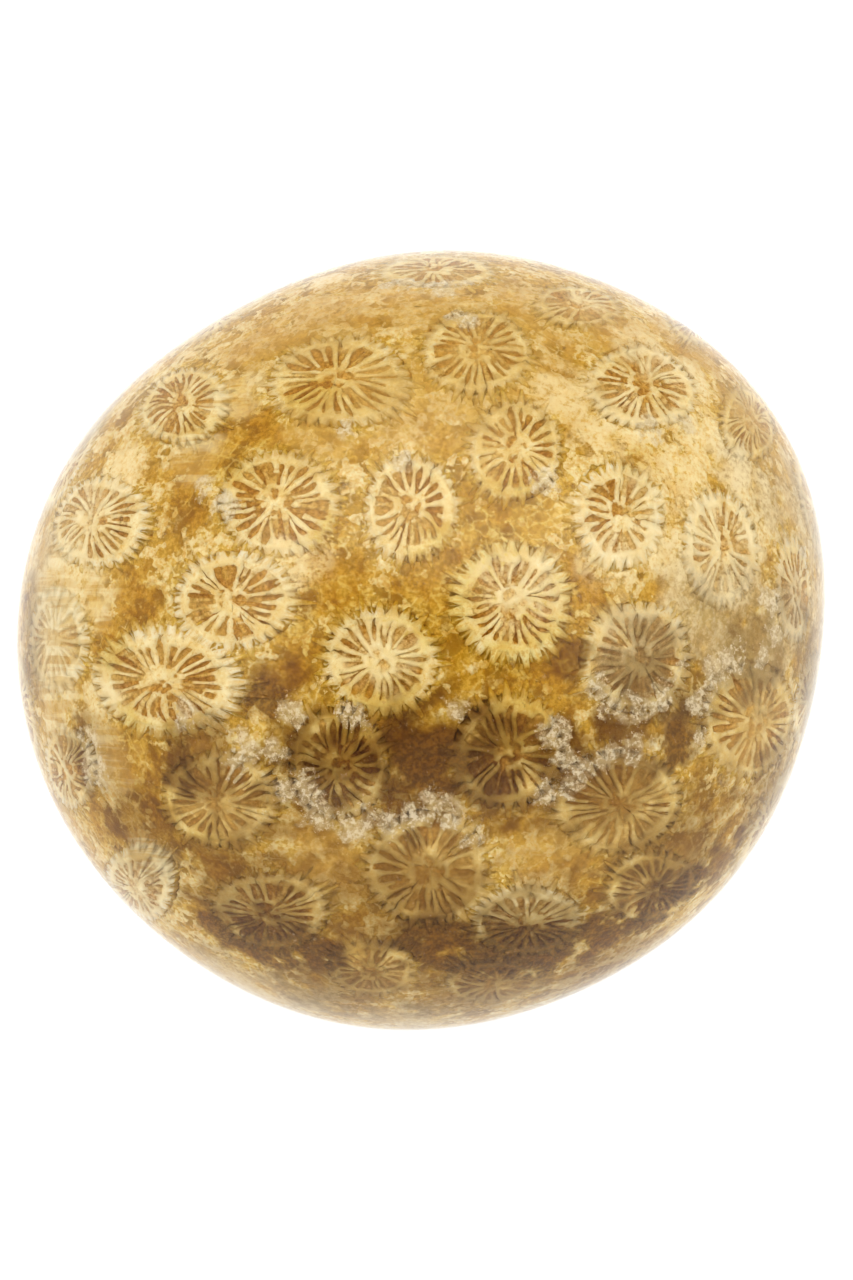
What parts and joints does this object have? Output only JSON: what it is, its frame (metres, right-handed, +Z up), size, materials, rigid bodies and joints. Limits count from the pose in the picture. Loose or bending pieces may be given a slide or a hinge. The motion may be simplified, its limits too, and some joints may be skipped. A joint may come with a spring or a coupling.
{
  "type": "fossil coral head",
  "caption": "Rounded, polished stone of agatised fossil coral with star-shaped corallites set in honey chalcedony, cut flat beneath so that it rests on a shelf.",
  "frame": {"origin": "on the ground, under the middle of the stone's bounding box, on the flat cut", "axes": "+Z up from the flat cut; +X along the widest way across the stone; the growth face leans back and looks halfway between -Y and +Z"},
  "size_m": [0.066, 0.0626, 0.0547],
  "materials": {
    "coral_skeleton": null,
    "clear_chalcedony": "see-through honey-coloured chalcedony, polished; glass stands in for it"
  },
  "bodies": {
    "root": {"coral_head": "coral_skeleton"}
  },
  "joints": []
}
